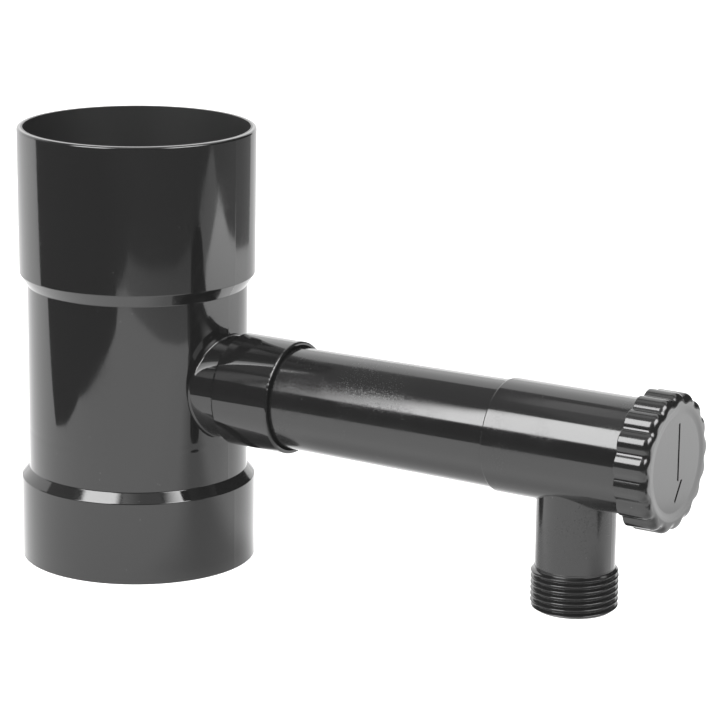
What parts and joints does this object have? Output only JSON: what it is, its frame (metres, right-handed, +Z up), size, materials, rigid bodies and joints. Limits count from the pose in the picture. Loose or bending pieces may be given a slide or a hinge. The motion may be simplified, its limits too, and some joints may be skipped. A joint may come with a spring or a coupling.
{
  "type": "rainwater diverter",
  "caption": "Rainwater diverter for a round downpipe: two plain sockets, a ring trough with an overflow sleeve, and a side arm with a turning regulator and a threaded outlet.",
  "frame": {"origin": "centre of the bottom socket's mouth, on the downpipe's axis, in the bottom face of the body", "axes": "+Z up along the downpipe's axis, towards the top socket; +X out along the arm, towards the knob"},
  "size_m": [0.2902, 0.0952, 0.1757],
  "materials": {
    "graphite_pvc": "glossy moulded",
    "knob_plastic": "glossy moulded",
    "seal_rubber": "matte"
  },
  "bodies": {
    "diverter": {"collector_body": "graphite_pvc", "outlet_arm": "graphite_pvc"},
    "regulator": {"regulator_knob": "knob_plastic", "inner_seal_ring": "seal_rubber", "outer_seal_ring": "seal_rubber"}
  },
  "joints": [
    {"name": "regulator_turn", "type": "hinge", "parent": "diverter", "child": "regulator", "pos_m": [0.2295, 0, 0.0755], "axis": [1, 0, 0], "continuous": true}
  ]
}
